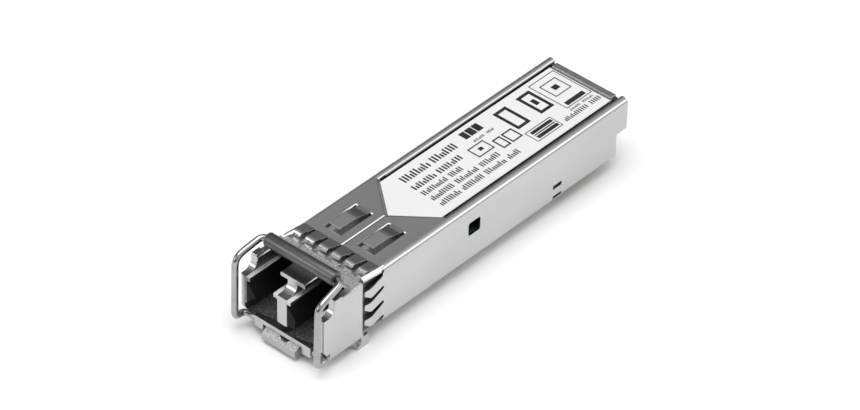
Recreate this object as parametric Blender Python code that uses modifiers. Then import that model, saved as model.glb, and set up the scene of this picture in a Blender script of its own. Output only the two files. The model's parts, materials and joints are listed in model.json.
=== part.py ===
"""Small form-factor pluggable optical transceiver with two LC ports and a bail latch.

Frame: X across the module, Y from the ports (-Y) to the edge connector (+Y), Z up.
The origin is the centre of the bounding box, at its bottom. Dimensions are in millimetres
and measured from the front plane of the nose (y) and the underside of the body (z); the
function at() turns them into metres in the frame.
"""

import math

import bmesh
import bpy
from mathutils import Matrix, Vector

MM = 0.001

# Body, to the industry's mechanical outline for this module size.
BODY_TOP = 8.5
BODY_HALF = 6.7
LENGTH = 56.5
NOSE_HALF, NOSE_TOP, NOSE_LENGTH = 6.85, 8.5, 7.0
NECK_HALF, NECK_TOP, NECK_END = 6.25, 7.95, 13.5
ROOF_UNDER, ROOF_END = 7.2, 18.0
CHIN, CHIN_REAR = 1.5, 7.95
FOOT_INNER = 6.1

# LC ports, mirrored about x = 0.
PORT_INNER, PORT_OUTER = 0.78, 5.9
PORT_FLOOR, LEDGE_UNDER, LEDGE_TOP, PORT_ROOF = 1.3, 6.05, 6.6, 7.95
LEDGE_INNER, LEDGE_OUTER = 1.4, 5.35
PORT_DEPTH = 9.5
LATCH_SPACE_DEPTH = 6.6
ROOF_SLOT_INNER, ROOF_SLOT_OUTER, ROOF_SLOT_REAR = 2.0, 5.75, 5.3
MOUTH_RELIEF_DEPTH, MOUTH_RELIEF_TOP = 1.45, 2.5
SETBACK, SETBACK_RADIUS = 1.89, 1.2
LC_PITCH = 6.25
OPTICAL_Z = 3.5

# Sheet sleeve round the body.
SHEET = 0.3
SLEEVE_FRONT = 10.6
SLEEVE_CORNER = 0.7
SIDE_REAR, SIDE_STEP_Z = 54.5, 3.9
BOTTOM_PANEL_END, REAR_BOTTOM_EDGE = 44.0, 0.6
RECESS_HALF, RECESS_DEPTH = 5.45, 0.4
RECESS_TIP, RECESS_SHOULDER = 18.6, 23.15
PAN_THICK = 0.5
RAIL_GROOVE_INNER, RAIL_GROOVE_OUTER, RAIL_GROOVE_FLOOR = 5.05, 5.4, 7.85
TAB_SLOT_INNER, TAB_SLOT_OUTER = 1.35, 4.08
TAB_SLOT_FRONT, TAB_SLOT_REAR = 11.9, 17.5

# Spring fingers cut from the front of the sleeve.
FINGER_SHEET = 0.2
TOP_FINGERS, TOP_PITCH = 6, 2.16
ROOT_WIDTH, CREST_WIDTH = 1.9, 1.4
CORNER_EASE = 0.2
SIDE_ROOTS = ((5.83, 7.35), (3.55, 5.27), (1.28, 2.99))
SIDE_CRESTS = ((5.5, 6.93), (3.34, 4.78), (1.02, 2.45))
SLOT_END_HEIGHTS = (8.0, 5.55, 3.27, 1.0)
SLOT_END_RADIUS = 0.2

# Circuit board.
PCB_UNDER, PCB_THICK = 2.25, 1.0
PCB_FRONT, PCB_REAR = 23.0, 53.3
PCB_HALF, TONGUE_HALF, TONGUE_START = 5.6, 4.6, 44.5

# Latch lever and bail.
CHANNEL_HALF, CHANNEL_ROOF = 3.2, 0.66
LEVER_HALF = 2.75
PIN_Y, PIN_Z, PIN_RADIUS = 6.95, -0.7, 0.35
BOSS_SHOULDER, BOSS_REAR, BOSS_DROP, BOSS_HALF = 11.5, 14.0, 0.45, 1.3
POCKET_FRONT, POCKET_REAR, POCKET_ROOF = 9.6, 14.9, 1.55
SPRING_Y = 12.8
WIRE = 0.45
BAIL_Y, BAIL_Z = 0.62, 0.42
BAIL_INNER, BAIL_HALF = 4.1, 6.8
NOTCH_INNER, NOTCH_DEPTH, NOTCH_TOP = 4.6, 1.15, 1.05
LEG_FRONT = -1.2
GRIP_Y, GRIP_Z, GRIP_HALF, GRIP_RADIUS = 3.56, 10.5, 5.6, 0.95

OUTSIDE = 8.0
RUNNING_GAP = 0.05
REST_GAP = 0.03
FRONT_EDGE = LEG_FRONT - WIRE
FRONT_Y = -(LENGTH + FRONT_EDGE) / 2


def at(x, y, z):
    """A point given in body millimetres, in metres in the frame."""
    return Vector((x, y + FRONT_Y, z + CHIN)) * MM


def clear_scene():
    for obj in list(bpy.data.objects):
        bpy.data.objects.remove(obj, do_unlink=True)


def new_collection(name):
    collection = bpy.data.collections.new(name)
    bpy.context.scene.collection.children.link(collection)
    return collection


def finish(name, colour, roughness, metallic):
    material = bpy.data.materials.new(name)
    material.use_nodes = True
    shader = material.node_tree.nodes["Principled BSDF"]
    shader.inputs["Base Color"].default_value = (*colour, 1.0)
    shader.inputs["Roughness"].default_value = roughness
    shader.inputs["Metallic"].default_value = metallic
    return material


clear_scene()
PARTS = new_collection("optical_transceiver_module")
CUTTERS = new_collection("cutters")

ZINC = finish("cast_zinc", (0.55, 0.55, 0.55), 0.42, 1.0)
STEEL = finish("plated_sheet", (0.62, 0.62, 0.63), 0.3, 1.0)
WIRE_STEEL = finish("polished_wire", (0.7, 0.7, 0.7), 0.2, 1.0)
BARREL_STEEL = finish("turned_stainless", (0.58, 0.57, 0.55), 0.28, 1.0)
CAN_GOLD = finish("gold_plated_can", (0.83, 0.66, 0.32), 0.3, 1.0)
CERAMIC = finish("zirconia", (0.92, 0.91, 0.88), 0.3, 0.0)
GRIP_PLASTIC = finish("grip_plastic", (0.05, 0.05, 0.05), 0.5, 0.0)
LABEL_FILM = finish("label_film", (0.9, 0.9, 0.9), 0.45, 0.0)
BOARD = finish("green_board", (0.02, 0.17, 0.08), 0.4, 0.0)
POLYIMIDE = finish("polyimide_flex", (0.55, 0.27, 0.05), 0.35, 0.0)
CHIP_RESIN = finish("chip_resin", (0.02, 0.02, 0.022), 0.55, 0.0)
CAPACITOR = finish("capacitor_body", (0.32, 0.2, 0.1), 0.5, 0.0)
RETAINER_RESIN = finish("retainer_resin", (0.03, 0.03, 0.035), 0.5, 0.0)
GAP_PAD = finish("gap_pad", (0.3, 0.34, 0.42), 0.8, 0.0)


def placed(name, mesh, location, material):
    """Links a mesh as a part, or as a cutter when it has no material."""
    obj = bpy.data.objects.new(name, mesh)
    obj.location = location
    if material:
        PARTS.objects.link(obj)
        mesh.materials.append(material)
        return obj
    CUTTERS.objects.link(obj)
    obj.hide_render = True
    obj.display_type = "WIRE"
    return obj


def box(name, x, y, z, material=None, bevel=0.0, steps=2):
    """A block between the two ends given for each axis."""
    size = [(high - low) * MM for low, high in (x, y, z)]
    mesh = bpy.data.meshes.new(name)
    shape = bmesh.new()
    bmesh.ops.create_cube(shape, size=1.0, matrix=Matrix.Diagonal((*size, 1.0)))
    shape.to_mesh(mesh)
    shape.free()
    middle = at(*((low + high) / 2 for low, high in (x, y, z)))
    obj = placed(name, mesh, middle, material)
    if bevel:
        soften(obj, bevel, steps)
    return obj


def rod(name, axis, centre, radius, length, material=None, sides=24):
    """A cylinder along X or Y."""
    turn = Matrix.Rotation(math.pi / 2, 4, "Y" if axis == "X" else "X")
    mesh = bpy.data.meshes.new(name)
    shape = bmesh.new()
    bmesh.ops.create_cone(
        shape, cap_ends=True, segments=sides, matrix=turn,
        radius1=radius * MM, radius2=radius * MM, depth=length * MM,
    )
    shape.to_mesh(mesh)
    shape.free()
    mesh.shade_smooth()
    mesh.set_sharp_from_angle(angle=math.radians(35))
    return placed(name, mesh, at(*centre), material)


def soften(obj, width, steps=2):
    bevel = obj.modifiers.new("rounded_edges", "BEVEL")
    bevel.width = width * MM
    bevel.segments = steps
    bevel.limit_method = "ANGLE"
    bevel.angle_limit = math.radians(40)


def as_mesh(curve_object, material):
    """The evaluated curve as a closed mesh in the same place."""
    graph = bpy.context.evaluated_depsgraph_get()
    mesh = bpy.data.meshes.new_from_object(curve_object.evaluated_get(graph))
    shape = bmesh.new()
    shape.from_mesh(mesh)
    bmesh.ops.remove_doubles(shape, verts=shape.verts, dist=1e-7)
    bmesh.ops.recalc_face_normals(shape, faces=shape.faces)
    shape.to_mesh(mesh)
    shape.free()
    name = curve_object.name
    matrix = curve_object.matrix_world.copy()
    bpy.data.objects.remove(curve_object, do_unlink=True)
    mesh.materials.clear()
    obj = placed(name, mesh, (0, 0, 0), material)
    obj.name = name
    obj.matrix_world = matrix
    return obj


PLANES = {
    "X": Matrix(((0, 0, 1), (1, 0, 0), (0, 1, 0))),
    "Y": Matrix(((1, 0, 0), (0, 0, -1), (0, 1, 0))),
    "Z": Matrix.Identity(3),
}


def plate(name, normal, outline, low, high, material=None):
    """A flat outline, thickened from low to high along its normal.

    The outline is (y, z) for a normal along X, (x, z) along Y and (x, y) along Z.
    """
    curve = bpy.data.curves.new(name, "CURVE")
    curve.dimensions = "2D"
    curve.fill_mode = "BOTH"
    curve.extrude = (high - low) / 2 * MM
    spline = curve.splines.new("POLY")
    spline.points.add(len(outline) - 1)
    for point, (across, up) in zip(spline.points, outline):
        point.co = (across * MM, up * MM, 0, 1)
    spline.use_cyclic_u = True
    obj = bpy.data.objects.new(name, curve)
    CUTTERS.objects.link(obj)
    middle = (low + high) / 2
    start = {"X": (middle, 0, 0), "Y": (0, middle, 0), "Z": (0, 0, middle)}[normal]
    obj.matrix_world = Matrix.Translation(at(*start)) @ PLANES[normal].to_4x4()
    bpy.context.view_layer.update()
    return as_mesh(obj, material)


def arc(centre, radius, start, end, steps=6):
    """Points round a centre, from one angle to another, in degrees."""
    angles = (math.radians(start + (end - start) * i / steps) for i in range(steps + 1))
    return [(centre[0] + radius * math.cos(a), centre[1] + radius * math.sin(a)) for a in angles]


def rounded_rectangle(left, right, low, high, radius, steps=5):
    """An upright rectangle with rounded corners."""
    return (
        arc((right - radius, low + radius), radius, -90, 0, steps)
        + arc((right - radius, high - radius), radius, 0, 90, steps)
        + arc((left + radius, high - radius), radius, 90, 180, steps)
        + arc((left + radius, low + radius), radius, 180, 270, steps)
    )


def lofted(name, rings, material=None):
    """A closed solid through rings of body points, each with the same number of points."""
    mesh = bpy.data.meshes.new(name)
    shape = bmesh.new()
    made = [[shape.verts.new(at(*point)) for point in ring] for ring in rings]
    for lower, upper in zip(made, made[1:]):
        for i in range(len(lower)):
            j = (i + 1) % len(lower)
            shape.faces.new((lower[i], lower[j], upper[j], upper[i]))
    shape.faces.new(made[0])
    shape.faces.new(made[-1])
    bmesh.ops.recalc_face_normals(shape, faces=shape.faces)
    shape.to_mesh(mesh)
    shape.free()
    return placed(name, mesh, (0, 0, 0), material)


def flared_slot(name, x, y, low, top, flare):
    """A cutter for a slot whose upper edges are chamfered by the flare."""
    rings = []
    for grow, z in ((0, low), (0, top - flare), (flare, top), (flare, top + 1)):
        near, far = y[0] - grow, y[1] + grow
        left, right = x[0] - grow, x[1] + grow
        rings.append([(left, near, z), (right, near, z), (right, far, z), (left, far, z)])
    return lofted(name, rings)


def strip(name, stations, thickness, place):
    """A bent sheet of changing width; a station is (y, height, low, high) of its middle."""
    rings = []
    for i, (y, height, low, high) in enumerate(stations):
        before = stations[max(i - 1, 0)]
        after = stations[min(i + 1, len(stations) - 1)]
        along = Vector((after[0] - before[0], after[1] - before[1])).normalized()
        rise = Vector((-along.y, along.x)) * thickness / 2
        upper, lower = (y + rise.x, height + rise.y), (y - rise.x, height - rise.y)
        ring = [(low, *upper), (high, *upper), (high, *lower), (low, *lower)]
        rings.append([place(*point) for point in ring])
    return lofted(name, rings)


def sheet_outline(path, thickness):
    """The outline of a bent sheet whose middle follows the path."""
    sides = ([], [])
    for i, point in enumerate(path):
        before = Vector(path[max(i - 1, 0)])
        after = Vector(path[min(i + 1, len(path) - 1)])
        along = (after - before).normalized()
        across = Vector((-along.y, along.x)) * thickness / 2
        sides[0].append(tuple(Vector(point) + across))
        sides[1].append(tuple(Vector(point) - across))
    return sides[0] + sides[1][::-1]


def combine(target, others, operation):
    for other in others:
        step = target.modifiers.new(other.name, "BOOLEAN")
        step.operation = operation
        step.object = other
        step.solver = "EXACT"


def cut(target, *cutters):
    combine(target, cutters, "DIFFERENCE")


def join(target, *others):
    combine(target, others, "UNION")


def turned(name, profile, centre, material, steps=28):
    """A profile of (radius, distance) turned about Y; its outer side runs rear to front."""
    mesh = bpy.data.meshes.new(name)
    points = [(radius * MM, 0, distance * MM) for radius, distance in profile]
    count = len(points)
    closed = min(radius for radius, _ in profile) > 0
    edges = [(i, (i + 1) % count) for i in range(count if closed else count - 1)]
    mesh.from_pydata(points, edges, [])
    obj = placed(name, mesh, at(*centre), material)
    obj.rotation_euler = (-math.pi / 2, 0, 0)
    screw = obj.modifiers.new("turned", "SCREW")
    screw.steps = steps
    screw.render_steps = steps
    screw.use_merge_vertices = True
    screw.merge_threshold = 1e-6
    screw.use_smooth_shade = False
    return obj


def eased(corners, radius, steps=5):
    """A path through the corners, each turned on an arc that starts up to radius away."""
    path = [Vector(corners[0])]
    for before, corner, after in zip(corners, corners[1:], corners[2:]):
        before, corner, after = Vector(before), Vector(corner), Vector(after)
        back = (before - corner).normalized() * min(radius, (before - corner).length * 0.45)
        ahead = (after - corner).normalized() * min(radius, (after - corner).length * 0.45)
        for i in range(steps + 1):
            t = i / steps
            path.append(corner + back * (1 - t) ** 2 + ahead * t**2)
    path.append(Vector(corners[-1]))
    return path


def wire(name, path, origin, radius, material, resolution=3):
    """A round wire along a path of body points, with its object's origin on an axis."""
    curve = bpy.data.curves.new(name, "CURVE")
    curve.dimensions = "3D"
    curve.bevel_depth = radius * MM
    curve.bevel_resolution = resolution
    curve.use_fill_caps = True
    spline = curve.splines.new("POLY")
    spline.points.add(len(path) - 1)
    centre = at(*origin)
    for point, place in zip(spline.points, path):
        point.co = (*(at(*place) - centre), 1)
    curve.materials.append(material)
    obj = bpy.data.objects.new(name, curve)
    obj.location = centre
    PARTS.objects.link(obj)
    return obj


def mirrored_pair(low, high):
    """The same stretch on both sides of x = 0."""
    return ((low, high), (-high, -low))


# ------------------------------------------------------------------ housing


def port_cutters():
    """Both LC ports: plug space, ledges for the plug's latch, and the slot in the roof."""
    cutters = []
    for side, sign in (("left", -1), ("right", 1)):

        def span(low, high):
            return tuple(sorted((sign * low, sign * high)))

        depth = (-1, PORT_DEPTH)
        wide = span(PORT_INNER, PORT_OUTER)
        latch_way = span(LEDGE_INNER, LEDGE_OUTER)
        slot = span(ROOF_SLOT_INNER, ROOF_SLOT_OUTER)
        relief = span(PORT_INNER - 0.3, PORT_OUTER + 0.25)
        bore = (sign * LC_PITCH / 2, NECK_END - 2, OPTICAL_Z)
        cutters += [
            box(f"{side}_plug_space", wide, depth, (PORT_FLOOR, LEDGE_UNDER)),
            box(f"{side}_latch_way", latch_way, depth, (LEDGE_UNDER - 0.5, LEDGE_TOP + 0.5)),
            box(f"{side}_latch_space", wide, (-1, LATCH_SPACE_DEPTH), (LEDGE_TOP, PORT_ROOF - 0.05)),
            flared_slot(f"{side}_roof_slot", slot, (1, ROOF_SLOT_REAR), PORT_ROOF - 0.5, NOSE_TOP, 0.12),
            rod(f"{side}_barrel_bore", "Y", bore, 1.58, 6.0),
            box(f"{side}_mouth_relief", relief, (-1, MOUTH_RELIEF_DEPTH), (PORT_FLOOR, MOUTH_RELIEF_TOP)),
        ]
    return cutters


def setback_cutter():
    """The scoop that sets the upper front of the nose back."""
    floor = LEDGE_TOP + 0.03
    outline = [(-2, floor)]
    outline += arc((SETBACK - SETBACK_RADIUS, floor + SETBACK_RADIUS), SETBACK_RADIUS, -90, 0)
    outline += [(SETBACK, NOSE_TOP + 1), (-2, NOSE_TOP + 1)]
    return plate("upper_setback", "X", outline, -OUTSIDE, OUTSIDE)


def pivot_cutters():
    """Room for the bail at the lower front corners, with a snap bore for each inner end."""
    slope = [(-1, NOTCH_TOP - 0.1), (0.5, NOTCH_TOP - 0.1), (0.5, NOTCH_TOP), (-0.02, 1.9), (-1, 1.9)]
    cutters = []
    for side, sign in (("left", -1), ("right", 1)):
        near, far = sorted((sign * NOTCH_INNER, sign * OUTSIDE))
        bore = (sign * (BAIL_INNER + NOTCH_INNER) / 2, BAIL_Y, BAIL_Z)
        cutters += [
            box(f"{side}_bail_notch", (near, far), (-1, NOTCH_DEPTH), (-1, NOTCH_TOP)),
            plate(f"{side}_notch_slope", "X", slope, near, far),
            rod(f"{side}_bail_bore", "X", bore, WIRE + RUNNING_GAP, 0.75),
        ]
    return cutters


def chin_half(side, sign):
    """One half of the chin; its rear face is the stop that meets the cage."""
    rear = [(CHIN_REAR - 0.15, -CHIN), (CHIN_REAR, -CHIN + 0.15), (CHIN_REAR, 0.1)]
    foot = [(6.0, -1.2), (6.0, -CHIN)] + rear
    foot += [(NOSE_LENGTH, 0.1), (NOSE_LENGTH, 0.8), (6.65, 0.8), (6.65, -0.55), (6.5, -0.95)]
    block = [(4.95, 0.1), (5.4, -0.9), (6.1, -CHIN)] + rear
    foot_span = sorted((sign * FOOT_INNER, sign * NOSE_HALF))
    block_span = sorted((sign * CHANNEL_HALF, sign * (FOOT_INNER + 0.1)))
    lug = sorted((sign * CHANNEL_HALF, sign * (NOTCH_INNER + 0.05)))
    lip = sorted((sign * 5.98, sign * NOSE_HALF))
    return [
        plate(f"{side}_foot", "X", foot, *foot_span),
        plate(f"{side}_chin", "X", block, *block_span),
        box(f"{side}_bail_lug", lug, (0.0, 1.35), (-0.25, 0.3)),
        box(f"{side}_top_lip", lip, (SETBACK + 0.02, 3.3), (8.2, NOSE_TOP + 0.28), bevel=0.12),
    ]


def main_casting():
    nose = box(
        "main_casting", (-NOSE_HALF, NOSE_HALF), (0, NOSE_LENGTH), (0, NOSE_TOP), ZINC, bevel=0.22
    )
    neck = box("neck", (-NECK_HALF, NECK_HALF), (NOSE_LENGTH - 1, NECK_END), (0.0, NECK_TOP), bevel=0.3)
    crown = [(6.5, 7.4), (10.3, 7.4), (10.3, 8.1), (8.35, 8.17), (7.9, 8.28), (7.3, NOSE_TOP - 0.03)]
    crown += [(6.5, NOSE_TOP - 0.03)]
    top_plate = plate("top_plate", "X", crown, -6.1, 6.1)
    rib = plate("top_rib", "Z", [(2.05, 6.7), (2.3, 6.7), (2.55, 7.6), (2.3, 7.6)], 8.2, NOSE_TOP + 0.2)
    roof = box("tray_roof", (-6.2, 6.2), (NECK_END - 1, ROOF_END), (ROOF_UNDER, NECK_TOP), bevel=0.2)
    tray_half = BODY_HALF - SHEET - 0.1
    floor_half = tray_half - 0.15
    floor = box("tray_floor", (-floor_half, floor_half), (NECK_END - 1, BOTTOM_PANEL_END + 2), (0.4, 1.0))
    walls = [
        box(f"tray_wall_{i}", span, (NECK_END - 1, SIDE_REAR - 0.6), (0.65, 4.0))
        for i, span in enumerate(mirrored_pair(tray_half - 0.55, tray_half))
    ]
    shelves = [
        box(f"board_shelf_{i}", span, (PCB_FRONT + 1, 50.0), (0.8, PCB_UNDER - REST_GAP))
        for i, span in enumerate(mirrored_pair(4.9, tray_half - 0.3))
    ]
    chins = chin_half("left", -1) + chin_half("right", 1)
    join(nose, neck, top_plate, rib, roof, floor, *walls, *shelves, *chins)
    channel = (-CHANNEL_HALF, CHANNEL_HALF)
    undercut = PORT_INNER + 0.4
    groove = [(-3.48, 6.3), (-3.2, 6.3), (-3.6, 7.9), (-3.88, 7.9)]
    cut(
        nose,
        box("sleeve_relief", (-OUTSIDE, OUTSIDE), (SLEEVE_FRONT - 0.25, NECK_END + 1), (-1, 0.38)),
        box("lever_channel", channel, (-1, POCKET_REAR), (-3, CHANNEL_ROOF)),
        box("lever_pocket", channel, (POCKET_FRONT, POCKET_REAR), (-3, POCKET_ROOF)),
        rod("pin_bore", "X", (0, PIN_Y, PIN_Z), PIN_RADIUS + 0.02, 11.0),
        box("post_undercut", (-undercut, undercut), (-1, MOUTH_RELIEF_DEPTH), (PORT_FLOOR + 0.01, 2.45)),
        plate("top_groove", "Z", groove, NOSE_TOP - 0.3, NOSE_TOP + 1),
        setback_cutter(),
        *port_cutters(),
        *pivot_cutters(),
    )
    return nose


def on_top(across, y, height):
    return (across, y, height)


def top_finger(name, middle, low_trim, high_trim):
    """A top finger: it rises towards the front, crests and turns steeply down."""
    root, crest = BODY_TOP - FINGER_SHEET / 2, BODY_TOP + 0.29
    line = [
        (SLEEVE_FRONT + 0.6, root, ROOT_WIDTH),
        (SLEEVE_FRONT, root, ROOT_WIDTH),
        (8.85, crest - 0.03, CREST_WIDTH + 0.06),
        (8.6, crest, CREST_WIDTH),
        (8.46, crest - 0.04, CREST_WIDTH - 0.04),
        (8.38, crest - 0.14, CREST_WIDTH - 0.12),
        (8.33, crest - 0.42, CREST_WIDTH - 0.3),
    ]
    stations = [
        (y, height, middle - width / 2 + low_trim, middle + width / 2 - high_trim)
        for y, height, width in line
    ]
    return strip(name, stations, FINGER_SHEET, on_top)


def side_finger(name, sign, root, crest):
    """A side finger: it flares outwards towards the front and turns in at its tip."""
    flat = BODY_HALF - FINGER_SHEET / 2
    low, high = crest
    stations = [
        (SLEEVE_FRONT + 0.6, flat, *root),
        (SLEEVE_FRONT, flat, *root),
        (8.6, flat + 0.24, low + 0.03, high + 0.05),
        (8.3, flat + 0.25, low, high),
        (8.1, flat + 0.18, low + 0.1, high - 0.1),
        (7.8, flat - 0.02, low + 0.26, high - 0.26),
        (7.6, flat - 0.14, low + 0.36, high - 0.36),
    ]

    def place(across, y, height):
        return (sign * height, y, across)

    return strip(name, stations, FINGER_SHEET, place)


def corner_finger(name, sign):
    """A narrow finger at the upper corner, rising outwards towards the front."""
    low, high = -0.3, 0.3
    stations = [
        (SLEEVE_FRONT + 0.6, 0.0, low, high),
        (SLEEVE_FRONT - 0.1, 0.03, low, high),
        (7.2, 0.33, low, high),
    ]

    def place(across, y, height):
        drop = math.sqrt(0.5) * across
        return (sign * (6.4 + drop), y, 8.2 + height * 1.2 - drop)

    return strip(name, stations, FINGER_SHEET, place)


def fingers():
    """Spring fingers round the front of the sleeve, top, corners and sides."""
    made = []
    for i in range(TOP_FINGERS):
        middle = (i - (TOP_FINGERS - 1) / 2) * TOP_PITCH
        low_trim = CORNER_EASE if i == 0 else 0
        high_trim = CORNER_EASE if i == TOP_FINGERS - 1 else 0
        made.append(top_finger(f"top_finger_{i}", middle, low_trim, high_trim))
    for side, sign in (("left", -1), ("right", 1)):
        for i, (root, crest) in enumerate(zip(SIDE_ROOTS, SIDE_CRESTS)):
            made.append(side_finger(f"{side}_finger_{i}", sign, root, crest))
        made.append(corner_finger(f"{side}_corner_finger", sign))
    return made


def slot_ends():
    """Round ends for the slots between the side fingers."""
    ends = []
    for i, z in enumerate(SLOT_END_HEIGHTS):
        for side, sign in (("left", -1), ("right", 1)):
            centre = (sign * BODY_HALF, SLEEVE_FRONT + 0.05, z)
            ends.append(rod(f"{side}_slot_end_{i}", "X", centre, SLOT_END_RADIUS, 0.9, sides=16))
    return ends


def spring_tab(name, sign):
    """A raised tab in the top of the sleeve, fixed at its rear and free at its front."""
    line = [
        (18.2, -0.05, 0.0),
        (TAB_SLOT_REAR, 0.02, 0.36),
        (16.9, 0.08, 0.37),
        (16.2, 0.27, 0.39),
        (15.6, 0.46, 0.41),
        (15.1, 0.55, 0.43),
        (14.5, 0.55, 0.45),
        (TAB_SLOT_FRONT + 0.35, 0.5, 0.5),
    ]
    stations = []
    for y, height, gap in line:
        low, high = sorted((sign * (TAB_SLOT_INNER + gap), sign * (TAB_SLOT_OUTER - gap)))
        stations.append((y, BODY_TOP + height - FINGER_SHEET / 2, low, high))
    return strip(name, stations, FINGER_SHEET, on_top)


def recess_outline(inset, z=None):
    """The label's recess, pointed at the front; a larger inset makes it smaller."""
    half = RECESS_HALF - inset
    rear = LENGTH + 1
    outline = [
        (0, RECESS_TIP + inset * 1.4),
        (half, RECESS_SHOULDER + inset * 0.4),
        (half, rear),
        (-half, rear),
        (-half, RECESS_SHOULDER + inset * 0.4),
    ]
    return outline if z is None else [(x, y, z) for x, y in outline]


def recess_cutters():
    """Room for the label between rails with rounded edges, and a groove beside each rail."""
    floor = BODY_TOP - RECESS_DEPTH
    rings = [(0, floor), (0, floor + 0.12), (-0.07, floor + 0.24), (-0.19, floor + 0.34)]
    rings += [(-0.4, BODY_TOP), (-0.4, BODY_TOP + 1)]
    cutters = [lofted("recess_room", [recess_outline(inset, z) for inset, z in rings])]
    depth = (RAIL_GROOVE_FLOOR, BODY_TOP)
    for i, span in enumerate(mirrored_pair(RAIL_GROOVE_INNER, RAIL_GROOVE_OUTER)):
        cutters.append(box(f"rail_groove_{i}", span, (24.0, 55.6), depth))
    for i, span in enumerate(mirrored_pair(RAIL_GROOVE_INNER - 0.1, RAIL_GROOVE_OUTER + 0.1)):
        cutters.append(box(f"groove_end_{i}", span, (23.4, 24.4), depth))
    return cutters


def shell_sleeve():
    outer = rounded_rectangle(-BODY_HALF, BODY_HALF, 0.0, BODY_TOP, SLEEVE_CORNER)
    half, top = BODY_HALF - SHEET, BODY_TOP - SHEET
    inner = rounded_rectangle(-half, half, SHEET, top, SLEEVE_CORNER - SHEET)
    sleeve = plate("shell_sleeve", "Y", outer, SLEEVE_FRONT, LENGTH, STEEL)
    slot_spans = mirrored_pair(TAB_SLOT_INNER, TAB_SLOT_OUTER)
    slots = [
        flared_slot(f"tab_slot_{i}", span, (TAB_SLOT_FRONT, TAB_SLOT_REAR), BODY_TOP - 1, BODY_TOP, 0.11)
        for i, span in enumerate(slot_spans)
    ]
    pan_top = BODY_TOP - 0.1
    pan = plate("recess_pan", "Z", recess_outline(-SHEET), BODY_TOP - RECESS_DEPTH - PAN_THICK, pan_top)
    cut(sleeve, plate("sleeve_inside", "Y", inner, SLEEVE_FRONT - 1, LENGTH + 1), *slots)
    join(sleeve, pan, spring_tab("left_spring_tab", -1), spring_tab("right_spring_tab", 1), *fingers())
    narrow, wide = 0.04, 0.16
    right = [(narrow, BODY_TOP - 1), (narrow, BODY_TOP - 0.12), (wide, BODY_TOP), (wide, BODY_TOP + 1)]
    seam = right + [(-x, z) for x, z in right[::-1]]
    strip_span = (-RAIL_GROOVE_INNER + 0.1, RAIL_GROOVE_INNER - 0.1)
    rear_strip = box(
        "rear_strip", strip_span, (55.2, LENGTH - 0.2), (8.0, BODY_TOP - 0.06), bevel=0.16, steps=3
    )
    window = rounded_rectangle(26.2, 28.4, 4.15, 6.15, 0.3, steps=3)
    across = (-OUTSIDE, OUTSIDE)
    cut(
        sleeve,
        *recess_cutters(),
        box("pan_rear_trim", across, (LENGTH, LENGTH + 3), (-1, BODY_TOP + 1)),
        box("deck_end", (-RECESS_HALF, RECESS_HALF), (LENGTH - 0.25, LENGTH + 1), (7, BODY_TOP + 1)),
        plate("seam", "Y", seam, SLEEVE_FRONT - 1, RECESS_TIP - 0.25),
        *slot_ends(),
        box("boss_opening", (-CHANNEL_HALF, CHANNEL_HALF), (SLEEVE_FRONT - 1, POCKET_REAR), (-1, 1)),
        box("open_rear_underside", across, (BOTTOM_PANEL_END, LENGTH + 1), (-1, REAR_BOTTOM_EDGE)),
        box("rear_side_step", across, (SIDE_REAR, LENGTH + 1), (-1, SIDE_STEP_Z)),
        plate("snap_windows", "X", window, *across),
        box("upper_side_slots", across, (42.25, 43.9), (2.1, 2.7)),
        box("lower_side_slots", across, (42.25, 43.9), (0.62, 1.05)),
    )
    join(sleeve, rear_strip)
    return sleeve


def label():
    low = BODY_TOP - RECESS_DEPTH + 0.02
    half, shoulder, rear = RAIL_GROOVE_INNER, RECESS_SHOULDER - 0.15, 55.0
    outline = [(0, RECESS_TIP + 0.25), (half, shoulder), (half, rear), (-half, rear), (-half, shoulder)]
    return plate("label", "Z", outline, low, low + 0.1, LABEL_FILM)


# ------------------------------------------------------------------ optics and electronics


def optical_subassembly(prefix, can_kind, x):
    """Receptacle barrel, ceramic sleeve, sealed can and flexible lead of one channel."""
    barrel = [
        (2.0, 16.9), (2.0, 14.3), (2.4, 14.3), (2.4, 13.65), (1.5, 13.65), (1.5, 8.9),
        (0.9, 8.9), (0.9, 13.0), (0.4, 13.0), (0.4, 16.9),
    ]
    turned(f"{prefix}_receptacle_barrel", barrel, (x, 0, OPTICAL_Z), BARREL_STEEL)
    tube = [(0.85, 12.9), (0.85, 9.3), (0.63, 9.3), (0.63, 12.9)]
    sleeve = turned(f"{prefix}_ceramic_sleeve", tube, (x, 0, OPTICAL_Z), CERAMIC, steps=20)
    slit = (x - 0.06, x + 0.06)
    cut(sleeve, box(f"{prefix}_sleeve_slit", slit, (9, 13.2), (OPTICAL_Z + 0.3, OPTICAL_Z + 1)))
    can_profile = [(0, 20.0), (2.35, 20.0), (2.35, 19.5), (1.95, 19.5), (1.95, 16.95), (0, 16.95)]
    can = turned(f"{prefix}_{can_kind}_can", can_profile, (x, 0, OPTICAL_Z), CAN_GOLD)
    leads = []
    for i in range(4):
        angle = math.radians(45 + 90 * i)
        centre = (x + 0.9 * math.cos(angle), 20.15, OPTICAL_Z + 0.9 * math.sin(angle))
        leads.append(rod(f"{prefix}_lead_{i}", "Y", centre, 0.2, 0.6, sides=8))
    join(can, *leads)
    board_top = PCB_UNDER + PCB_THICK + REST_GAP
    bend = [
        (20.6, OPTICAL_Z + 1.7), (20.6, OPTICAL_Z - 1.1), (20.75, OPTICAL_Z - 1.45),
        (21.1, OPTICAL_Z - 1.55), (21.5, OPTICAL_Z - 1.45), (21.8, OPTICAL_Z - 1.1),
        (22.1, board_top + 0.35), (22.4, board_top + 0.12),
        (22.9, board_top + 0.06), (24.6, board_top + 0.06),
    ]
    plate(f"{prefix}_flex", "X", sheet_outline(bend, 0.1), x - 1.7, x + 1.7, POLYIMIDE)


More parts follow.
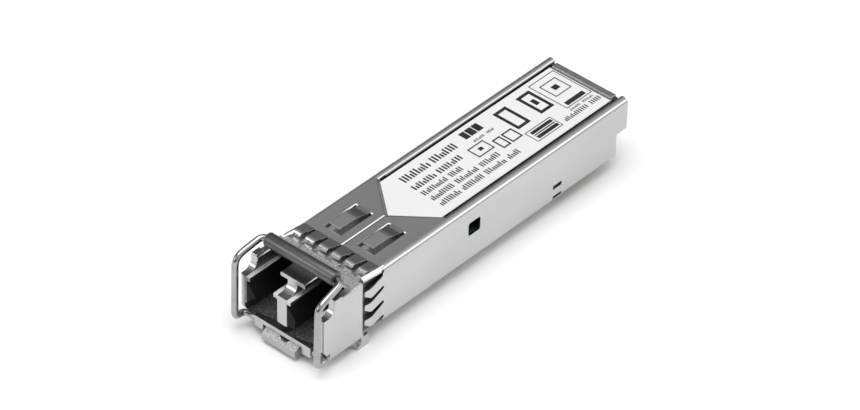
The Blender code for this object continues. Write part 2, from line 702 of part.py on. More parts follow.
def osa_retainer():
    """The saddle that holds both barrels by their flanges."""
    saddle = box("barrel_retainer", (-5.6, 5.6), (14.42, 15.6), (1.06, 6.6), RETAINER_RESIN, bevel=0.15)
    for i, x in enumerate((-LC_PITCH / 2, LC_PITCH / 2)):
        cut(saddle, rod(f"saddle_bore_{i}", "Y", (x, 15, OPTICAL_Z), 2.06, 4.0))
        cut(saddle, box(f"saddle_mouth_{i}", (x - 1.7, x + 1.7), (14, 17), (-1, OPTICAL_Z - 0.3)))
    return saddle


def circuit_board():
    chamfer = 0.3
    right = [
        (PCB_HALF, PCB_FRONT),
        (PCB_HALF, TONGUE_START),
        (TONGUE_HALF, TONGUE_START + 0.6),
        (TONGUE_HALF, PCB_REAR - chamfer),
        (TONGUE_HALF - chamfer, PCB_REAR),
    ]
    outline = right + [(-x, y) for x, y in right[::-1]]
    return plate("circuit_board", "Z", outline, PCB_UNDER, PCB_UNDER + PCB_THICK, BOARD)


def board_component(name, x, y, width, length, height, material, bevel=0.06):
    low = PCB_UNDER + PCB_THICK + REST_GAP
    return box(
        name,
        (x - width / 2, x + width / 2),
        (y - length / 2, y + length / 2),
        (low, low + height),
        material,
        bevel,
        steps=1,
    )


def board_components():
    board_component("laser_driver_chip", -2.9, 29.0, 4.0, 4.0, 0.85, CHIP_RESIN)
    board_component("limiting_amplifier_chip", 2.9, 28.5, 3.0, 3.0, 0.85, CHIP_RESIN)
    board_component("controller_chip", 0.4, 35.5, 5.0, 5.0, 0.9, CHIP_RESIN)
    board_component("identity_memory_chip", 0.0, 41.6, 3.0, 2.0, 0.75, CHIP_RESIN)
    board_component("transmit_supply_inductor", -4.2, 35.0, 1.6, 2.0, 1.1, CAPACITOR)
    board_component("receive_supply_inductor", 4.5, 33.4, 1.6, 2.0, 1.1, CAPACITOR)
    for i, (x, y) in enumerate(((-4.2, 38.6), (4.5, 37.2), (-3.6, 42.0), (3.6, 42.0))):
        board_component(f"supply_capacitor_{i + 1}", x, y, 1.25, 2.0, 1.0, CAPACITOR)


def thermal_pad():
    depth = (1.0 + REST_GAP, PCB_UNDER - REST_GAP)
    return box("thermal_gap_pad", (-4.5, -0.5), (27.0, 31.0), depth, GAP_PAD, bevel=0.1, steps=1)


# ------------------------------------------------------------------ latch and bail


def origin_on(obj, axis_point):
    """Moves an object's origin to a point without moving its shape."""
    bpy.context.view_layer.update()
    shift = obj.matrix_world.inverted() @ axis_point
    obj.data.transform(Matrix.Translation(-shift))
    obj.matrix_world = obj.matrix_world @ Matrix.Translation(shift)


def latch_lever():
    arm = [(0.15, 0.5), (1.2, 0.55), (6.0, 0.55), (8.6, 0.3), (14.2, 0.3), (14.2, 0.02)]
    pivot = [(8.1, 0.02), (7.6, -0.95), (7.35, -1.15), (6.5, -1.15), (6.0, -0.35), (1.4, -0.35)]
    lip = [(0.95, -1.0), (0.65, -1.2), (-0.35, -1.2), (-0.6, -1.1), (-0.7, -0.9), (-0.7, -0.16)]
    lip += [(-0.66, -0.06), (-0.56, -0.01)]
    lever = plate("latch_lever", "X", arm + pivot + lip, -LEVER_HALF, LEVER_HALF, ZINC)
    ramp = [(BOSS_REAR, -0.05), (BOSS_SHOULDER + 0.5, -BOSS_DROP), (BOSS_SHOULDER, -BOSS_DROP)]
    wedge = [(BOSS_SHOULDER, 0.15), (BOSS_REAR, 0.15)] + ramp
    boss = plate("latch_boss", "X", wedge, -BOSS_HALF, BOSS_HALF)
    join(lever, boss)
    cut(
        lever,
        rod("lever_bore", "X", (0, PIN_Y, PIN_Z), PIN_RADIUS + 0.04, 8.0),
        rod("lever_dish", "Y", (0.35, 0.4, 1.3), 1.15, 2.0, sides=20),
    )
    origin_on(lever, at(0, PIN_Y, PIN_Z))
    return lever


def latch_spring():
    turns, radius, wire_radius = 3.5, 0.6, 0.1
    low, high = 0.3 + REST_GAP + wire_radius, POCKET_ROOF - REST_GAP - wire_radius
    count = round(turns * 14)
    path = []
    for i in range(count + 1):
        angle = math.tau * turns * i / count
        height = low + (high - low) * i / count
        path.append((radius * math.cos(angle), SPRING_Y + radius * math.sin(angle), height))
    return wire("latch_spring", path, (0, SPRING_Y, POCKET_ROOF), wire_radius, WIRE_STEEL, resolution=1)


def bail():
    half = [
        (BAIL_INNER + 0.05, BAIL_Y, BAIL_Z),
        (BAIL_HALF - 0.06, BAIL_Y, BAIL_Z),
        (BAIL_HALF, LEG_FRONT, BAIL_Z + 0.03),
        (BAIL_HALF, LEG_FRONT + 0.2, 9.0),
        (BAIL_HALF, -0.15, 9.72),
        (6.5, GRIP_Y, GRIP_Z),
        (0, GRIP_Y, GRIP_Z),
    ]
    other = [(-x, y, z) for x, y, z in half[-2::-1]]
    path = eased(half[:-1] + other, 0.95)
    wire("bail_wire", path, (0, BAIL_Y, BAIL_Z), WIRE, WIRE_STEEL)
    bore = WIRE + RUNNING_GAP
    ease = 0.12
    profile = [(GRIP_RADIUS - ease, GRIP_HALF), (GRIP_RADIUS, GRIP_HALF - ease)]
    profile += [(GRIP_RADIUS, -GRIP_HALF + ease), (GRIP_RADIUS - ease, -GRIP_HALF)]
    profile += [(bore, -GRIP_HALF), (bore, GRIP_HALF)]
    grip = turned("bail_grip", profile, (0, GRIP_Y, GRIP_Z), GRIP_PLASTIC)
    grip.rotation_euler = (0, math.pi / 2, 0)


main_casting()
shell_sleeve()
label()
optical_subassembly("transmit", "laser", -LC_PITCH / 2)
optical_subassembly("receive", "detector", LC_PITCH / 2)
osa_retainer()
circuit_board()
board_components()
thermal_pad()
latch_lever()
rod("latch_pivot_pin", "X", (0, PIN_Y, PIN_Z), PIN_RADIUS, 10.6, BARREL_STEEL)
latch_spring()
bail()
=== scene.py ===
"""The look of the optical transceiver module: finishes, print, contacts, floor, light and camera."""

import json
import math

import bmesh
import bpy
from mathutils import Matrix, Vector

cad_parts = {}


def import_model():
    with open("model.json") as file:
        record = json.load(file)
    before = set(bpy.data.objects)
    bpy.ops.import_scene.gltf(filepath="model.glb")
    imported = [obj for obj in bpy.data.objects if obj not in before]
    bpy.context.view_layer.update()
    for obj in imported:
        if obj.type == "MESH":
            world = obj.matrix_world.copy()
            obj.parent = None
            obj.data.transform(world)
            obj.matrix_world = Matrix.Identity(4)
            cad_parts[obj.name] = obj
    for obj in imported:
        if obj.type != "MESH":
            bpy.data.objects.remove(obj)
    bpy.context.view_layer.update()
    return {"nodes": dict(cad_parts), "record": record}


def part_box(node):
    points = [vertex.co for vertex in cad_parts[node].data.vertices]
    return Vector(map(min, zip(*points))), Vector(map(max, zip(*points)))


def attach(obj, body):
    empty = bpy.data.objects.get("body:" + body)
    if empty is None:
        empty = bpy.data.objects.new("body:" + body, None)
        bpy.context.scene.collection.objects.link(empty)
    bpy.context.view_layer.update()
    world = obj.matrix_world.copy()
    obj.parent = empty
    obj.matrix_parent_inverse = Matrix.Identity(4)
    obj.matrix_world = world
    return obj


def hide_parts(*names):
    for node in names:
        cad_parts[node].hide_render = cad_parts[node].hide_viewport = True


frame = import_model()

MM = 0.001
NODES = frame["nodes"]
JOINTS = {joint["name"]: joint for joint in frame["record"]["behaviour"]["joints"]}
CASTING_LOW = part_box("main_casting")[0]
CHIN = 1.5  # the chin reaches this far below the body's underside, in millimetres


def at(x, y, z):
    """A point in millimetres from the nose's front plane and the body's underside."""
    return Vector((x * MM, CASTING_LOW.y + y * MM, CASTING_LOW.z + (z + CHIN) * MM))


# ------------------------------------------------------------------ camera, light, floor

AZIMUTH, ELEVATION, ROLL = math.radians(41.106), math.radians(38.751), math.radians(1.167)
LOOK_AT = Vector((-1.218, 0.575, 5.259)) * MM
DISTANCE = 552.6 * MM
LENS, SENSOR = 186.76, 36.0
LIGHT_DISTANCE = 0.9
FLOOR_HALF = 3.0


def camera():
    back = Vector((
        math.sin(AZIMUTH) * math.cos(ELEVATION),
        -math.cos(AZIMUTH) * math.cos(ELEVATION),
        math.sin(ELEVATION),
    ))
    right = Vector((0, 0, 1)).cross(back).normalized()
    up = back.cross(right)
    side = right * math.cos(ROLL) + up * math.sin(ROLL)
    rise = up * math.cos(ROLL) - right * math.sin(ROLL)
    data = bpy.data.cameras.new("camera")
    data.lens = LENS
    data.sensor_width = SENSOR
    data.sensor_fit = "HORIZONTAL"
    data.clip_start, data.clip_end = 0.01, 50
    obj = bpy.data.objects.new("camera", data)
    bpy.context.scene.collection.objects.link(obj)
    place = Matrix((side, rise, back)).transposed().to_4x4()
    place.translation = LOOK_AT + back * DISTANCE
    obj.matrix_world = place
    bpy.context.scene.camera = obj


def softbox(name, towards, size, power):
    """A square area light in the given direction from the middle of the object."""
    data = bpy.data.lights.new(name, "AREA")
    data.shape = "RECTANGLE"
    data.size = data.size_y = size
    data.energy = power
    obj = bpy.data.objects.new(name, data)
    bpy.context.scene.collection.objects.link(obj)
    direction = Vector(towards).normalized()
    obj.location = Vector((0, 0, 4 * MM)) + direction * LIGHT_DISTANCE
    obj.rotation_euler = direction.to_track_quat("Z", "Y").to_euler()


def world(stops, towards, gain):
    """A grey studio whose brightness depends on height, with one brighter side."""
    made = bpy.data.worlds.new("studio")
    made.use_nodes = True
    tree = made.node_tree
    shade = tree.nodes["Background"]
    where = tree.nodes.new("ShaderNodeTexCoord")
    split = tree.nodes.new("ShaderNodeSeparateXYZ")
    ramp = tree.nodes.new("ShaderNodeValToRGB")
    facing = tree.nodes.new("ShaderNodeVectorMath")
    facing.operation = "DOT_PRODUCT"
    facing.inputs[1].default_value = towards
    side = tree.nodes.new("ShaderNodeMapRange")
    side.inputs["To Max"].default_value = gain
    total = tree.nodes.new("ShaderNodeMath")
    total.operation = "ADD"
    tree.links.new(where.outputs["Generated"], split.inputs["Vector"])
    tree.links.new(where.outputs["Generated"], facing.inputs[0])
    tree.links.new(split.outputs["Z"], ramp.inputs["Fac"])
    tree.links.new(facing.outputs["Value"], side.inputs["Value"])
    tree.links.new(ramp.outputs["Color"], total.inputs[0])
    tree.links.new(side.outputs["Result"], total.inputs[1])
    tree.links.new(total.outputs["Value"], shade.inputs["Color"])
    points = ramp.color_ramp.elements
    while len(points) < len(stops):
        points.new(0.5)
    for point, (height, value) in zip(points, stops):
        point.position = height
        point.color = (value, value, value, 1)
    bpy.context.scene.world = made


def floor(material):
    mesh = bpy.data.meshes.new("floor")
    shape = bmesh.new()
    bmesh.ops.create_grid(shape, x_segments=2, y_segments=2, size=FLOOR_HALF)
    shape.to_mesh(mesh)
    shape.free()
    mesh.materials.append(material)
    obj = bpy.data.objects.new("floor", mesh)
    bpy.context.scene.collection.objects.link(obj)


# ------------------------------------------------------------------ finishes


SHADE_FADE = (4.0, 5.6)  # the shade under the grip fades out between these distances from the front
PLASTIC_IOR, INK_SPECULAR = 2.0, 0.15
SHARP_ANGLE, PIECE_SHARP_ANGLE = math.radians(30), math.radians(40)


def new_material(name, colour, roughness, metallic=0.0):
    material = bpy.data.materials.new(name)
    material.use_nodes = True
    tree = material.node_tree
    shader = tree.nodes["Principled BSDF"]
    shader.inputs["Base Color"].default_value = (*colour, 1)
    shader.inputs["Roughness"].default_value = roughness
    shader.inputs["Metallic"].default_value = metallic
    return material, tree, shader


def textured(name, dark, light, roughness, metallic=0.0, scale=400.0, stretch=(1, 1, 1),
             bump=0.02, bump_scale=3000.0, grain=0.0, edge=0.0):
    """Colour between dark and light, roughness in its range and a bump, each from noise."""
    material, tree, shader = new_material(name, light, roughness[0], metallic)
    new = tree.nodes.new
    link = tree.links.new
    where = new("ShaderNodeTexCoord")
    mapping = new("ShaderNodeMapping")
    mapping.inputs["Scale"].default_value = stretch
    link(where.outputs["Object"], mapping.inputs["Vector"])
    cloud = new("ShaderNodeTexNoise")
    cloud.inputs["Scale"].default_value = scale
    cloud.inputs["Detail"].default_value = 5
    link(mapping.outputs["Vector"], cloud.inputs["Vector"])
    ramp = new("ShaderNodeValToRGB")
    ramp.color_ramp.elements[0].position = 0.3
    ramp.color_ramp.elements[1].position = 0.7
    ramp.color_ramp.elements[0].color = (*dark, 1)
    ramp.color_ramp.elements[1].color = (*light, 1)
    link(cloud.outputs["Fac"], ramp.inputs["Fac"])
    link(ramp.outputs["Color"], shader.inputs["Base Color"])
    rough = new("ShaderNodeMapRange")
    rough.inputs["To Min"].default_value = roughness[0]
    rough.inputs["To Max"].default_value = roughness[1]
    link(cloud.outputs["Fac"], rough.inputs["Value"])
    link(rough.outputs["Result"], shader.inputs["Roughness"])
    fine = new("ShaderNodeTexNoise")
    fine.inputs["Scale"].default_value = bump_scale
    fine.inputs["Detail"].default_value = 3
    link(mapping.outputs["Vector"], fine.inputs["Vector"])
    bumps = new("ShaderNodeBump")
    bumps.inputs["Strength"].default_value = bump
    bumps.inputs["Distance"].default_value = 0.0001
    link(fine.outputs["Fac"], bumps.inputs["Height"])
    if edge:
        round_edge = new("ShaderNodeBevel")
        round_edge.samples = 4
        round_edge.inputs["Radius"].default_value = edge
        link(round_edge.outputs["Normal"], bumps.inputs["Normal"])
    link(bumps.outputs["Normal"], shader.inputs["Normal"])
    return material


def zinc(name, dark, light, side, roughness, strength=0.5, shade=1.0):
    """Cast zinc: speckled where it faces up, smoother on its sides, with separate colours for the two,
    and a painted shade on top near its front.
    """
    material, tree, shader = new_material(name, light, roughness[0], 1.0)
    new = tree.nodes.new
    link = tree.links.new
    where = new("ShaderNodeTexCoord")
    speckle = new("ShaderNodeTexNoise")
    speckle.inputs["Scale"].default_value = 4200
    speckle.inputs["Detail"].default_value = 4
    link(where.outputs["Object"], speckle.inputs["Vector"])
    facing = new("ShaderNodeSeparateXYZ")
    geometry = new("ShaderNodeNewGeometry")
    link(geometry.outputs["Normal"], facing.inputs["Vector"])
    up = new("ShaderNodeMapRange")
    up.inputs["From Min"].default_value = 0.6
    up.inputs["From Max"].default_value = 0.9
    up.inputs["To Min"].default_value = 0.02
    link(facing.outputs["Z"], up.inputs["Value"])
    # The speckle is the casting's grain; the up-facing faces and the sides take separate colour ramps.
    tops = new("ShaderNodeValToRGB")
    sides = new("ShaderNodeValToRGB")
    for ramp, (low, high) in ((tops, (dark, light)), (sides, side)):
        ramp.color_ramp.elements[0].position = 0.36
        ramp.color_ramp.elements[1].position = 0.64
        ramp.color_ramp.elements[0].color = (*low, 1)
        ramp.color_ramp.elements[1].color = (*high, 1)
        link(speckle.outputs["Fac"], ramp.inputs["Fac"])
    blend = new("ShaderNodeMix")
    blend.data_type = "RGBA"
    place = new("ShaderNodeSeparateXYZ")
    link(where.outputs["Object"], place.inputs["Vector"])
    # Painted shade: the up-facing colour is scaled down near the front, where the grip shades the top,
    # fading out over SHADE_FADE.
    shading = new("ShaderNodeMapRange")
    shading.inputs["From Min"].default_value = at(0, SHADE_FADE[0], 0).y
    shading.inputs["From Max"].default_value = at(0, SHADE_FADE[1], 0).y
    shading.inputs["To Min"].default_value = shade
    link(place.outputs["Y"], shading.inputs["Value"])
    darker = new("ShaderNodeVectorMath")
    darker.operation = "SCALE"
    link(tops.outputs["Color"], darker.inputs[0])
    link(shading.outputs["Result"], darker.inputs["Scale"])
    link(up.outputs["Result"], blend.inputs["Factor"])
    link(sides.outputs["Color"], blend.inputs[6])
    link(darker.outputs["Vector"], blend.inputs[7])
    link(blend.outputs[2], shader.inputs["Base Color"])
    rough = new("ShaderNodeMapRange")
    rough.inputs["To Min"].default_value = roughness[0]
    rough.inputs["To Max"].default_value = roughness[1]
    link(up.outputs["Result"], rough.inputs["Value"])
    link(rough.outputs["Result"], shader.inputs["Roughness"])
    bumps = new("ShaderNodeBump")
    bumps.inputs["Distance"].default_value = 0.00003
    bumps.inputs["Strength"].default_value = strength
    height = new("ShaderNodeMath")
    height.operation = "MULTIPLY"
    link(up.outputs["Result"], height.inputs[0])
    link(speckle.outputs["Fac"], height.inputs[1])
    link(height.outputs["Value"], bumps.inputs["Height"])
    round_edge = new("ShaderNodeBevel")
    round_edge.samples = 4
    round_edge.inputs["Radius"].default_value = 0.00008
    link(round_edge.outputs["Normal"], bumps.inputs["Normal"])
    link(bumps.outputs["Normal"], shader.inputs["Normal"])
    return material


def grey(value):
    return (value, value, value)


FINISHES = {
    # Cast zinc: its up-facing colour is lighter than its sides' as painted light, and its top near the
    # front is darkened by painted shade under the grip.
    "cast_zinc": zinc(
        "cast_zinc", grey(0.5), grey(0.86), (grey(0.53), grey(0.56)), (0.28, 0.34), shade=0.25
    ),
    "plated_sheet": textured(
        "plated_sheet", grey(0.52), grey(0.57), (0.19, 0.27), 1.0,
        scale=250, stretch=(1, 0.25, 1), bump=0.04, edge=0.00006,
    ),
    "polished_wire": textured(
        "polished_wire", grey(0.35), grey(0.41), (0.14, 0.24), 1.0, scale=700, bump=0.03
    ),
    "turned_stainless": textured(
        "turned_stainless", (0.5, 0.5, 0.49), (0.62, 0.61, 0.6), (0.2, 0.32), 1.0,
        stretch=(1, 8, 1), edge=0.00004,
    ),
    "gold_plated_can": textured(
        "gold_plated_can", (0.75, 0.55, 0.22), (0.87, 0.68, 0.33), (0.22, 0.34), 1.0, edge=0.00004
    ),
    "zirconia": textured("zirconia", (0.84, 0.83, 0.8), (0.92, 0.91, 0.88), (0.15, 0.25)),
    "grip_plastic": textured(
        "grip_plastic", grey(0.008), grey(0.013), (0.3, 0.38), scale=900, bump=0.08, bump_scale=2500
    ),
    "label_film": textured("label_film", grey(0.73), grey(0.75), (0.42, 0.5), scale=300, bump=0.02),
    "green_board": textured(
        "green_board", (0.01, 0.11, 0.05), (0.02, 0.17, 0.08), (0.3, 0.4), scale=600, edge=0.00004
    ),
    "polyimide_flex": textured("polyimide_flex", (0.45, 0.2, 0.03), (0.58, 0.3, 0.06), (0.3, 0.4)),
    "chip_resin": textured(
        "chip_resin", grey(0.012), grey(0.025), (0.45, 0.6), scale=1500, bump=0.2, edge=0.00005
    ),
    "capacitor_body": textured(
        "capacitor_body", (0.25, 0.15, 0.07), (0.36, 0.23, 0.12), (0.4, 0.55), edge=0.00005
    ),
    "retainer_resin": textured("retainer_resin", grey(0.02), grey(0.035), (0.4, 0.55), edge=0.00005),
    "gap_pad": textured("gap_pad", (0.25, 0.29, 0.36), (0.33, 0.37, 0.45), (0.7, 0.85), bump=0.2),
}
# Painted shade: a dark zinc for the ports' insides, the neck's sides and the tray.
PAINTED_SHADE_ZINC = zinc("painted_shade_zinc", grey(0.09), grey(0.25), (grey(0.1), grey(0.13)), (0.45, 0.6))
# Painted light: a lighter, rougher zinc for the ledges' tops, which the light through the slots
# brightens.
PAINTED_LIGHT_LEDGE_ZINC = zinc("painted_light_ledge_zinc", grey(0.75), grey(0.92), (grey(0.6), grey(0.7)), (0.5, 0.6), 0.2)
LEVER_ZINC = zinc("lever_zinc", grey(0.3), grey(0.6), (grey(0.4), grey(0.52)), (0.42, 0.5))
MOTTLED_SHEET = textured("mottled_sheet", grey(0.28), grey(0.46), (0.3, 0.4), 1.0, scale=2600, bump=0.3)
# Painted shade: a dark sheet for the grooves between the label's recess and the rails.
PAINTED_SHADE_SHEET = textured("painted_shade_sheet", grey(0.06), grey(0.12), (0.4, 0.5), 1.0, scale=900)
INK = textured("label_ink", grey(0.015), grey(0.03), (0.45, 0.55), scale=800, bump=0.02)
GOLD = textured("contact_gold", (0.72, 0.5, 0.2), (0.85, 0.62, 0.28), (0.2, 0.3), 1.0, scale=900)


def shader_input(material, name):
    return material.node_tree.nodes["Principled BSDF"].inputs[name]


shader_input(FINISHES["grip_plastic"], "IOR").default_value = PLASTIC_IOR
shader_input(INK, "Specular IOR Level").default_value = INK_SPECULAR


def dress_nodes():
    """Gives each CAD node the finish of its material slot."""
    for part in frame["record"]["subparts"]:
        node = NODES[part["node"]]
        node.data.materials.clear()
        node.data.materials.append(FINISHES[part["material_slot"]])
        node.data.shade_smooth()
        node.data.set_sharp_from_angle(angle=SHARP_ANGLE)


def refinish(node, material, wanted):
    """Gives another finish to the faces that the test picks by their centre in millimetres."""
    mesh = NODES[node].data
    mesh.materials.append(material)
    for face in mesh.polygons:
        centre = [value / MM for value in face.center - at(0, 0, 0)]
        if wanted(*centre, face.normal):
            face.material_index = len(mesh.materials) - 1


def inside_casting(x, y, z, normal):
    """The inside of the ports, the sides of the neck and the tray, which take a darker colour as painted
    shade.
    """
    port = 0.7 < abs(x) < 6.0 and 0.95 < y < 9.6 and 1.25 < z < 8.0
    port = port or (abs(x) < 6.3 and 0.3 < y < 2 and 1.32 < z < 2.6)
    ledge = 5.98 < z < 6.65 and y < 5
    front = normal.y < -0.9 and (y < 1 or (y < 2 and z > 6.5))
    behind = y > 7.02 and z > 0.2 and not (normal.z > 0.9 and z > 7.9)
    return (port and not ledge and not front) or behind


def ledge_top(x, y, z, normal):
    """The ledges that catch a plug's latch, beside each port's upper slot; their lighter colour is
    painted light falling through the slot.
    """
    return normal.z > 0.9 and 6.5 < z < 6.7 and 0.7 < abs(x) < 6.0 and 0 < y < 6.7


def rail_groove(x, y, z, normal):
    """The grooves between the label's recess and the side rails, darkened with painted shade."""
    return 4.9 < abs(x) < 5.6 and y > 23.2 and 7.8 < z < 8.15


def rear_strip(x, y, z, normal):
    """The strip of sheet behind the label."""
    return abs(x) < 5.2 and y > 55.0 and z > 8.12


def refinish_faces():
    # Painted shade darkens the ports' insides, the neck's sides and the tray.
    refinish("main_casting", PAINTED_SHADE_ZINC, inside_casting)
    # Painted light brightens the ledges' tops.
    refinish("main_casting", PAINTED_LIGHT_LEDGE_ZINC, ledge_top)
    # Painted shade darkens the grooves beside the rails.
    refinish("shell_sleeve", PAINTED_SHADE_SHEET, rail_groove)
    refinish("shell_sleeve", MOTTLED_SHEET, rear_strip)
    lever = NODES["latch_lever"].data
    lever.materials.clear()
    lever.materials.append(LEVER_ZINC)


# ------------------------------------------------------------------ detail pieces

# Sizes in millimetres.
WIRE_RADIUS, WIRE_SIDES = 0.45, 28
WIRE_INNER_END, WIRE_BEND = 4.05, 0.95
GRIP_EASE, GRIP_EASE_STEPS, GRIP_SIDES = 0.16, 4, 56
PRINT_LIFT, PRINT_THICKNESS = 0.001, 0.007
WORD_GAP = 0.5
CONTACTS, CONTACT_PITCH, CONTACT_HALF, CONTACT_THICKNESS = 10, 0.8, 0.28, 0.02
CONTACT_START, CONTACT_END = 3.6, 0.35  # from the board's rear edge


def piece(name, mesh, material, body, smooth=False):
    mesh.materials.append(material)
    if smooth:
        mesh.shade_smooth()
        mesh.set_sharp_from_angle(angle=PIECE_SHARP_ANGLE)
    obj = bpy.data.objects.new(name, mesh)
    bpy.context.scene.collection.objects.link(obj)
    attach(obj, body)
    return obj


def from_bmesh(name, shape):
    bmesh.ops.recalc_face_normals(shape, faces=shape.faces)
    mesh = bpy.data.meshes.new(name)
    shape.to_mesh(mesh)
    shape.free()
    return mesh


def loft(shape, rings, closed_ring=False):
    """Joins rings of points with quads, and caps both ends unless the rings close."""
    made = [[shape.verts.new(point) for point in ring] for ring in rings]
    pairs = list(zip(made, made[1:]))
    if closed_ring:
        pairs.append((made[-1], made[0]))
    for lower, upper in pairs:
        for i in range(len(lower)):
            j = (i + 1) % len(lower)
            shape.faces.new((lower[i], lower[j], upper[j], upper[i]))
    if not closed_ring:
        shape.faces.new(made[0])
        shape.faces.new(made[-1])


def rounded_path(corners, radius, steps=10):
    """The corners joined by straight runs with a smooth bend at each."""
    path = [Vector(corners[0])]
    for before, corner, after in zip(corners, corners[1:], corners[2:]):
        back, ahead = before - corner, after - corner
        start = back.normalized() * min(radius, back.length * 0.45)
        end = ahead.normalized() * min(radius, ahead.length * 0.45)
        for i in range(steps + 1):
            t = i / steps
            path.append(corner + start * (1 - t) ** 2 + end * t**2)
    path.append(Vector(corners[-1]))
    return path


def tube(name, path, radius, sides):
    """A round wire along a path, with flat ends."""
    shape = bmesh.new()
    rings = []
    along = (path[1] - path[0]).normalized()
    across = along.orthogonal().normalized()
    for i, point in enumerate(path):
        turn = (path[min(i + 1, len(path) - 1)] - path[max(i - 1, 0)]).normalized()
        across = (across - turn * across.dot(turn)).normalized()
        other = turn.cross(across)
        ring = []
        for k in range(sides):
            angle = math.tau * k / sides
            ring.append(point + (across * math.cos(angle) + other * math.sin(angle)) * radius)
        rings.append(ring)
    loft(shape, rings)
    return from_bmesh(name, shape)


def bail_pieces():
    """A rounder bail wire and grip, in the place of the CAD's."""
    low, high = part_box("bail_wire")
    grip_low, grip_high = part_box("bail_grip")
    radius = WIRE_RADIUS * MM
    hinge = Vector(JOINTS["bail_hinge"]["pos_m"])
    grip = (grip_low + grip_high) / 2
    side, front = high.x - radius, low.y + radius
    half = [
        Vector((WIRE_INNER_END * MM, hinge.y, hinge.z)),
        Vector((side - 0.06 * MM, hinge.y, hinge.z)),
        Vector((side, front, hinge.z + 0.03 * MM)),
        Vector((side, front + 0.2 * MM, grip.z - 1.5 * MM)),
        Vector((side, front + 1.05 * MM, grip.z - 0.78 * MM)),
        Vector((side - 0.3 * MM, grip.y, grip.z)),
        Vector((0, grip.y, grip.z)),
    ]
    other = [Vector((-point.x, point.y, point.z)) for point in half[-2::-1]]
    path = rounded_path(half[:-1] + other, WIRE_BEND * MM)
    wire = piece("bail_wire_smooth", tube("bail_wire_smooth", path, radius, WIRE_SIDES),
                 FINISHES["polished_wire"], "bail", smooth=True)
    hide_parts("bail_wire")

    reach = (grip_high.x - grip_low.x) / 2
    outer = (grip_high.z - grip_low.z) / 2
    inner, ease = radius * 1.02, GRIP_EASE * MM
    profile = [(inner, -reach + ease * 0.5), (inner + ease * 0.5, -reach)]
    for i in range(GRIP_EASE_STEPS + 1):
        angle = math.radians(90 * i / GRIP_EASE_STEPS)
        profile.append((outer - ease * (1 - math.sin(angle)), -reach + ease * (1 - math.cos(angle))))
    profile += [(distance, -along) for distance, along in profile[::-1]]
    rings = []
    for k in range(GRIP_SIDES):
        angle = math.tau * k / GRIP_SIDES
        rings.append([
            grip + Vector((along, math.cos(angle) * distance, math.sin(angle) * distance))
            for distance, along in profile
        ])
    shape = bmesh.new()
    loft(shape, rings, closed_ring=True)
    sleeve = piece("bail_grip_smooth", from_bmesh("bail_grip_smooth", shape),
                   FINISHES["grip_plastic"], "bail", smooth=True)
    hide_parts("bail_grip")


def add_block(shape, x, y, z):
    """A box between two points across, two along and two heights."""
    corners = [(x[0], y[0]), (x[1], y[0]), (x[1], y[1]), (x[0], y[1])]
    loft(shape, [[at(a, b, height) for a, b in corners] for height in z])


def add_frame(shape, x, y, stroke, z):
    """A flat rectangular frame."""
    rings = []
    for inset in (0, stroke):
        corners = [(x[0] + inset, y[0] + inset), (x[1] - inset, y[0] + inset),
                   (x[1] - inset, y[1] - inset), (x[0] + inset, y[1] - inset)]
        rings.append([[at(a, b, height) for a, b in corners] for height in z])
    (outer_low, outer_high), (inner_low, inner_high) = rings
    loft(shape, [outer_low, outer_high, inner_high, inner_low], closed_ring=True)


def add_row(shape, middle, start, end, height, stroke, z, seed):
    """A row of plain ticks in groups, which stands for a line of print."""
    place, count, state = start, 0, seed
    while place < end - stroke:
        state = (state * 73 + 41) % 997
        tall = height * (1.0 if state % 3 else 0.66)
        low = middle + height / 2 - tall
        add_block(shape, (low, low + tall), (place, place + stroke), z)
        count += 1
        group_ends = count % (9 + seed % 4) == 0
        place += stroke * (1.6 + 0.2 * (state % 3)) + (WORD_GAP if group_ends else 0)


# Rows of ticks: middle across, start and end along, height, stroke.
PRINT_ROWS = (
    (-3.25, 25.0, 35.1, 1.25, 0.28),
    (-1.2, 24.8, 34.3, 1.0, 0.26),
    (0.35, 24.8, 31.9, 0.92, 0.21),
    (1.8, 24.8, 37.3, 0.92, 0.21),
    (3.25, 24.8, 39.5, 0.95, 0.21),
    (-2.0, 36.9, 40.8, 0.45, 0.12),
    (3.5, 48.0, 54.7, 0.75, 0.2),
    (2.62, 50.0, 54.6, 0.4, 0.1),
)
# Blocks: span across, span along.
PRINT_BLOCKS = (
    ((-4.35, -2.9), (36.6, 37.5)),
    ((-4.35, -2.9), (37.65, 38.75)),
    ((-4.35, -2.9), (38.9, 39.9)),
    ((-2.3, -1.1), (47.9, 48.6)),
    ((-0.7, -0.1), (36.1, 36.8)),
    ((1.95, 2.5), (43.0, 46.9)),
    ((2.66, 2.86), (43.0, 46.9)),
    ((3.02, 3.6), (43.0, 46.9)),
    ((1.05, 1.8), (50.6, 54.1)),
    ((-2.3, -1.4), (51.9, 52.9)),
)
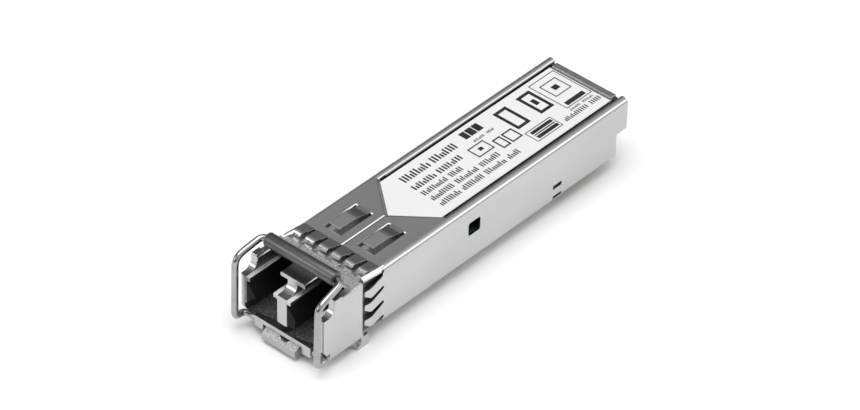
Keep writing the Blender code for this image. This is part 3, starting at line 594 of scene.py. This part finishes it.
# Frames: span across, span along, stroke.
PRINT_FRAMES = (
    ((-3.9, 0.5), (42.6, 45.0), 0.5),
    ((-3.9, 0.5), (47.0, 49.5), 0.5),
    ((-1.45, 0.7), (35.0, 37.9), 0.2),
    ((-0.45, 1.7), (38.5, 39.9), 0.24),
    ((-0.45, 1.7), (40.2, 42.1), 0.24),
    ((1.6, 3.95), (42.4, 47.2), 0.13),
    ((-4.4, 2.15), (50.0, 54.85), 0.13),
    ((-3.3, -0.4), (50.9, 53.9), 0.16),
)


def label_print():
    """Plain ticks, blocks and frames in the places where a label carries print."""
    top = (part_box("label")[1].z - at(0, 0, 0).z) / MM
    z = (top + PRINT_LIFT, top + PRINT_LIFT + PRINT_THICKNESS)
    shape = bmesh.new()
    for i, (middle, start, end, height, stroke) in enumerate(PRINT_ROWS):
        add_row(shape, middle, start, end, height, stroke, z, seed=5 + 3 * i)
    for x, y in PRINT_BLOCKS:
        add_block(shape, x, y, z)
    for x, y, stroke in PRINT_FRAMES:
        add_frame(shape, x, y, stroke, z)
    piece("label_print", from_bmesh("label_print", shape), INK, "housing")


def edge_contacts():
    """Ten gold contacts on each face of the board's tongue."""
    low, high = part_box("circuit_board")
    base = at(0, 0, 0)
    rear = (high.y - base.y) / MM
    faces = (("upper_contacts", high.z, CONTACT_THICKNESS), ("lower_contacts", low.z, -CONTACT_THICKNESS))
    for name, face, step in faces:
        shape = bmesh.new()
        height = (face - base.z) / MM
        z = sorted((height + step * 0.1, height + step))
        for i in range(CONTACTS):
            middle = (i - (CONTACTS - 1) / 2) * CONTACT_PITCH
            x = (middle - CONTACT_HALF, middle + CONTACT_HALF)
            add_block(shape, x, (rear - CONTACT_START, rear - CONTACT_END), z)
        piece(name, from_bmesh(name, shape), GOLD, "housing")


camera()
world([(0.0, 0.05), (0.27, 0.09), (0.63, 0.36), (0.8, 0.45), (1.0, 0.6)], (0.9, 0.3, 0.2), 0.6)
softbox("overhead", (-0.02, -0.08, 1), 0.7, 5.3)
softbox("rear_right", (0.63, 0.59, 0.51), 0.4, 0.7)
softbox("front_left", (-0.51, -0.74, 0.43), 0.45, 1.8)
floor(textured("floor", grey(0.95), grey(0.97), (0.8, 0.9), scale=2, bump=0.0))
bpy.context.scene.view_settings.view_transform = "Standard"
dress_nodes()
refinish_faces()
bail_pieces()
label_print()
edge_contacts()
